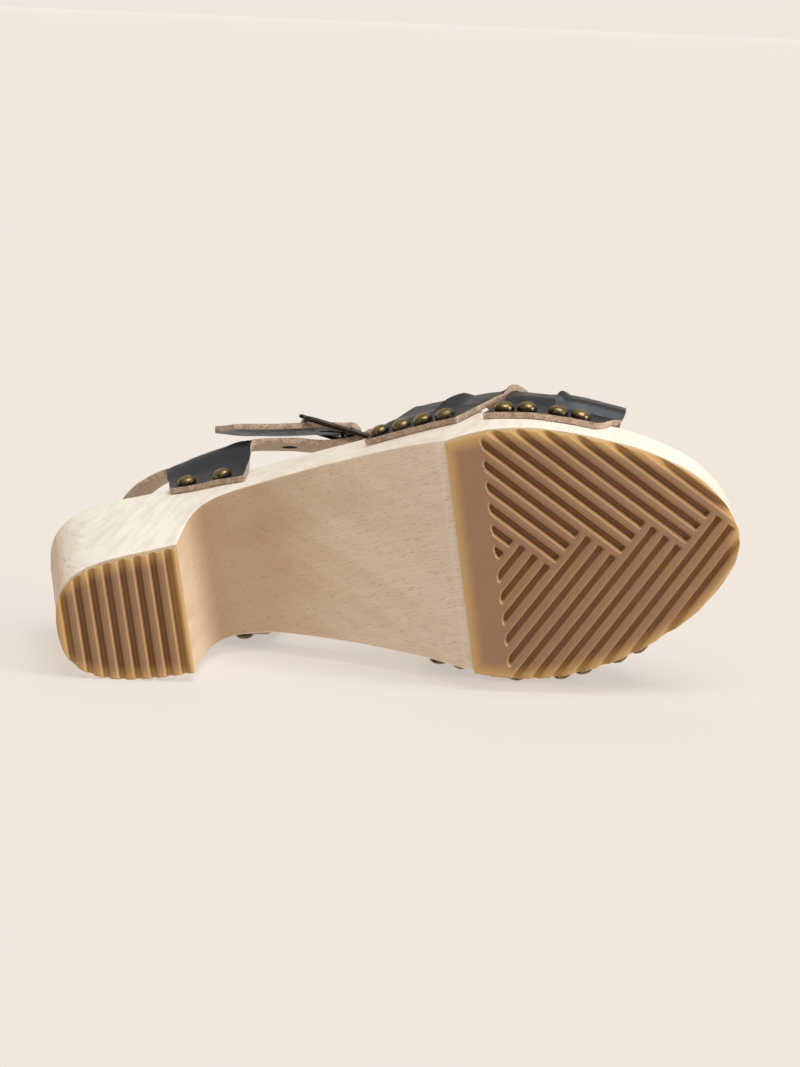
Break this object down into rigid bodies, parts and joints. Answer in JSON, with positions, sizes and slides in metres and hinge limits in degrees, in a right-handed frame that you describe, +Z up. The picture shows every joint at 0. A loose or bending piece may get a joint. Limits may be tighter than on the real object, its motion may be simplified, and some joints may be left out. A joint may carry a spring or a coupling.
{
  "type": "wooden sole sandal",
  "caption": "Right-foot clog sandal with a heeled wooden sole, ribbed rubber outsoles, crossing leather straps, dome nails and a buckled ankle strap, lying on its inner side.",
  "frame": {"origin": "on the ground under the middle of the shoe's bounds, as it lies on its inner side", "axes": "+X from the heel towards the toe, +Y from the tread towards the ankle strap, +Z up from the ground to the shoe's outer side"},
  "size_m": [0.2498, 0.121, 0.105],
  "materials": {
    "beech": "satin",
    "gum_rubber": "satin",
    "black_leather": "semi-gloss",
    "antique_brass": "antique"
  },
  "bodies": {
    "root": {"wooden_sole": "beech", "forefoot_outsole": "gum_rubber", "heel_lift": "gum_rubber", "toe_straps": "black_leather", "ankle_strap": "black_leather", "buckle_frame": "antique_brass", "buckle_prong": "antique_brass", "toe_nail_lateral_1": "antique_brass", "toe_nail_lateral_2": "antique_brass", "toe_nail_lateral_3": "antique_brass", "toe_nail_lateral_4": "antique_brass", "toe_nail_lateral_5": "antique_brass", "toe_nail_lateral_6": "antique_brass", "toe_nail_lateral_7": "antique_brass", "toe_nail_lateral_8": "antique_brass", "toe_nail_medial_1": "antique_brass", "toe_nail_medial_2": "antique_brass", "toe_nail_medial_3": "antique_brass", "toe_nail_medial_4": "antique_brass", "toe_nail_medial_5": "antique_brass", "toe_nail_medial_6": "antique_brass", "toe_nail_medial_7": "antique_brass", "toe_nail_medial_8": "antique_brass", "heel_nail_lateral_1": "antique_brass", "heel_nail_lateral_2": "antique_brass", "heel_nail_medial_1": "antique_brass", "heel_nail_medial_2": "antique_brass"}
  },
  "joints": []
}
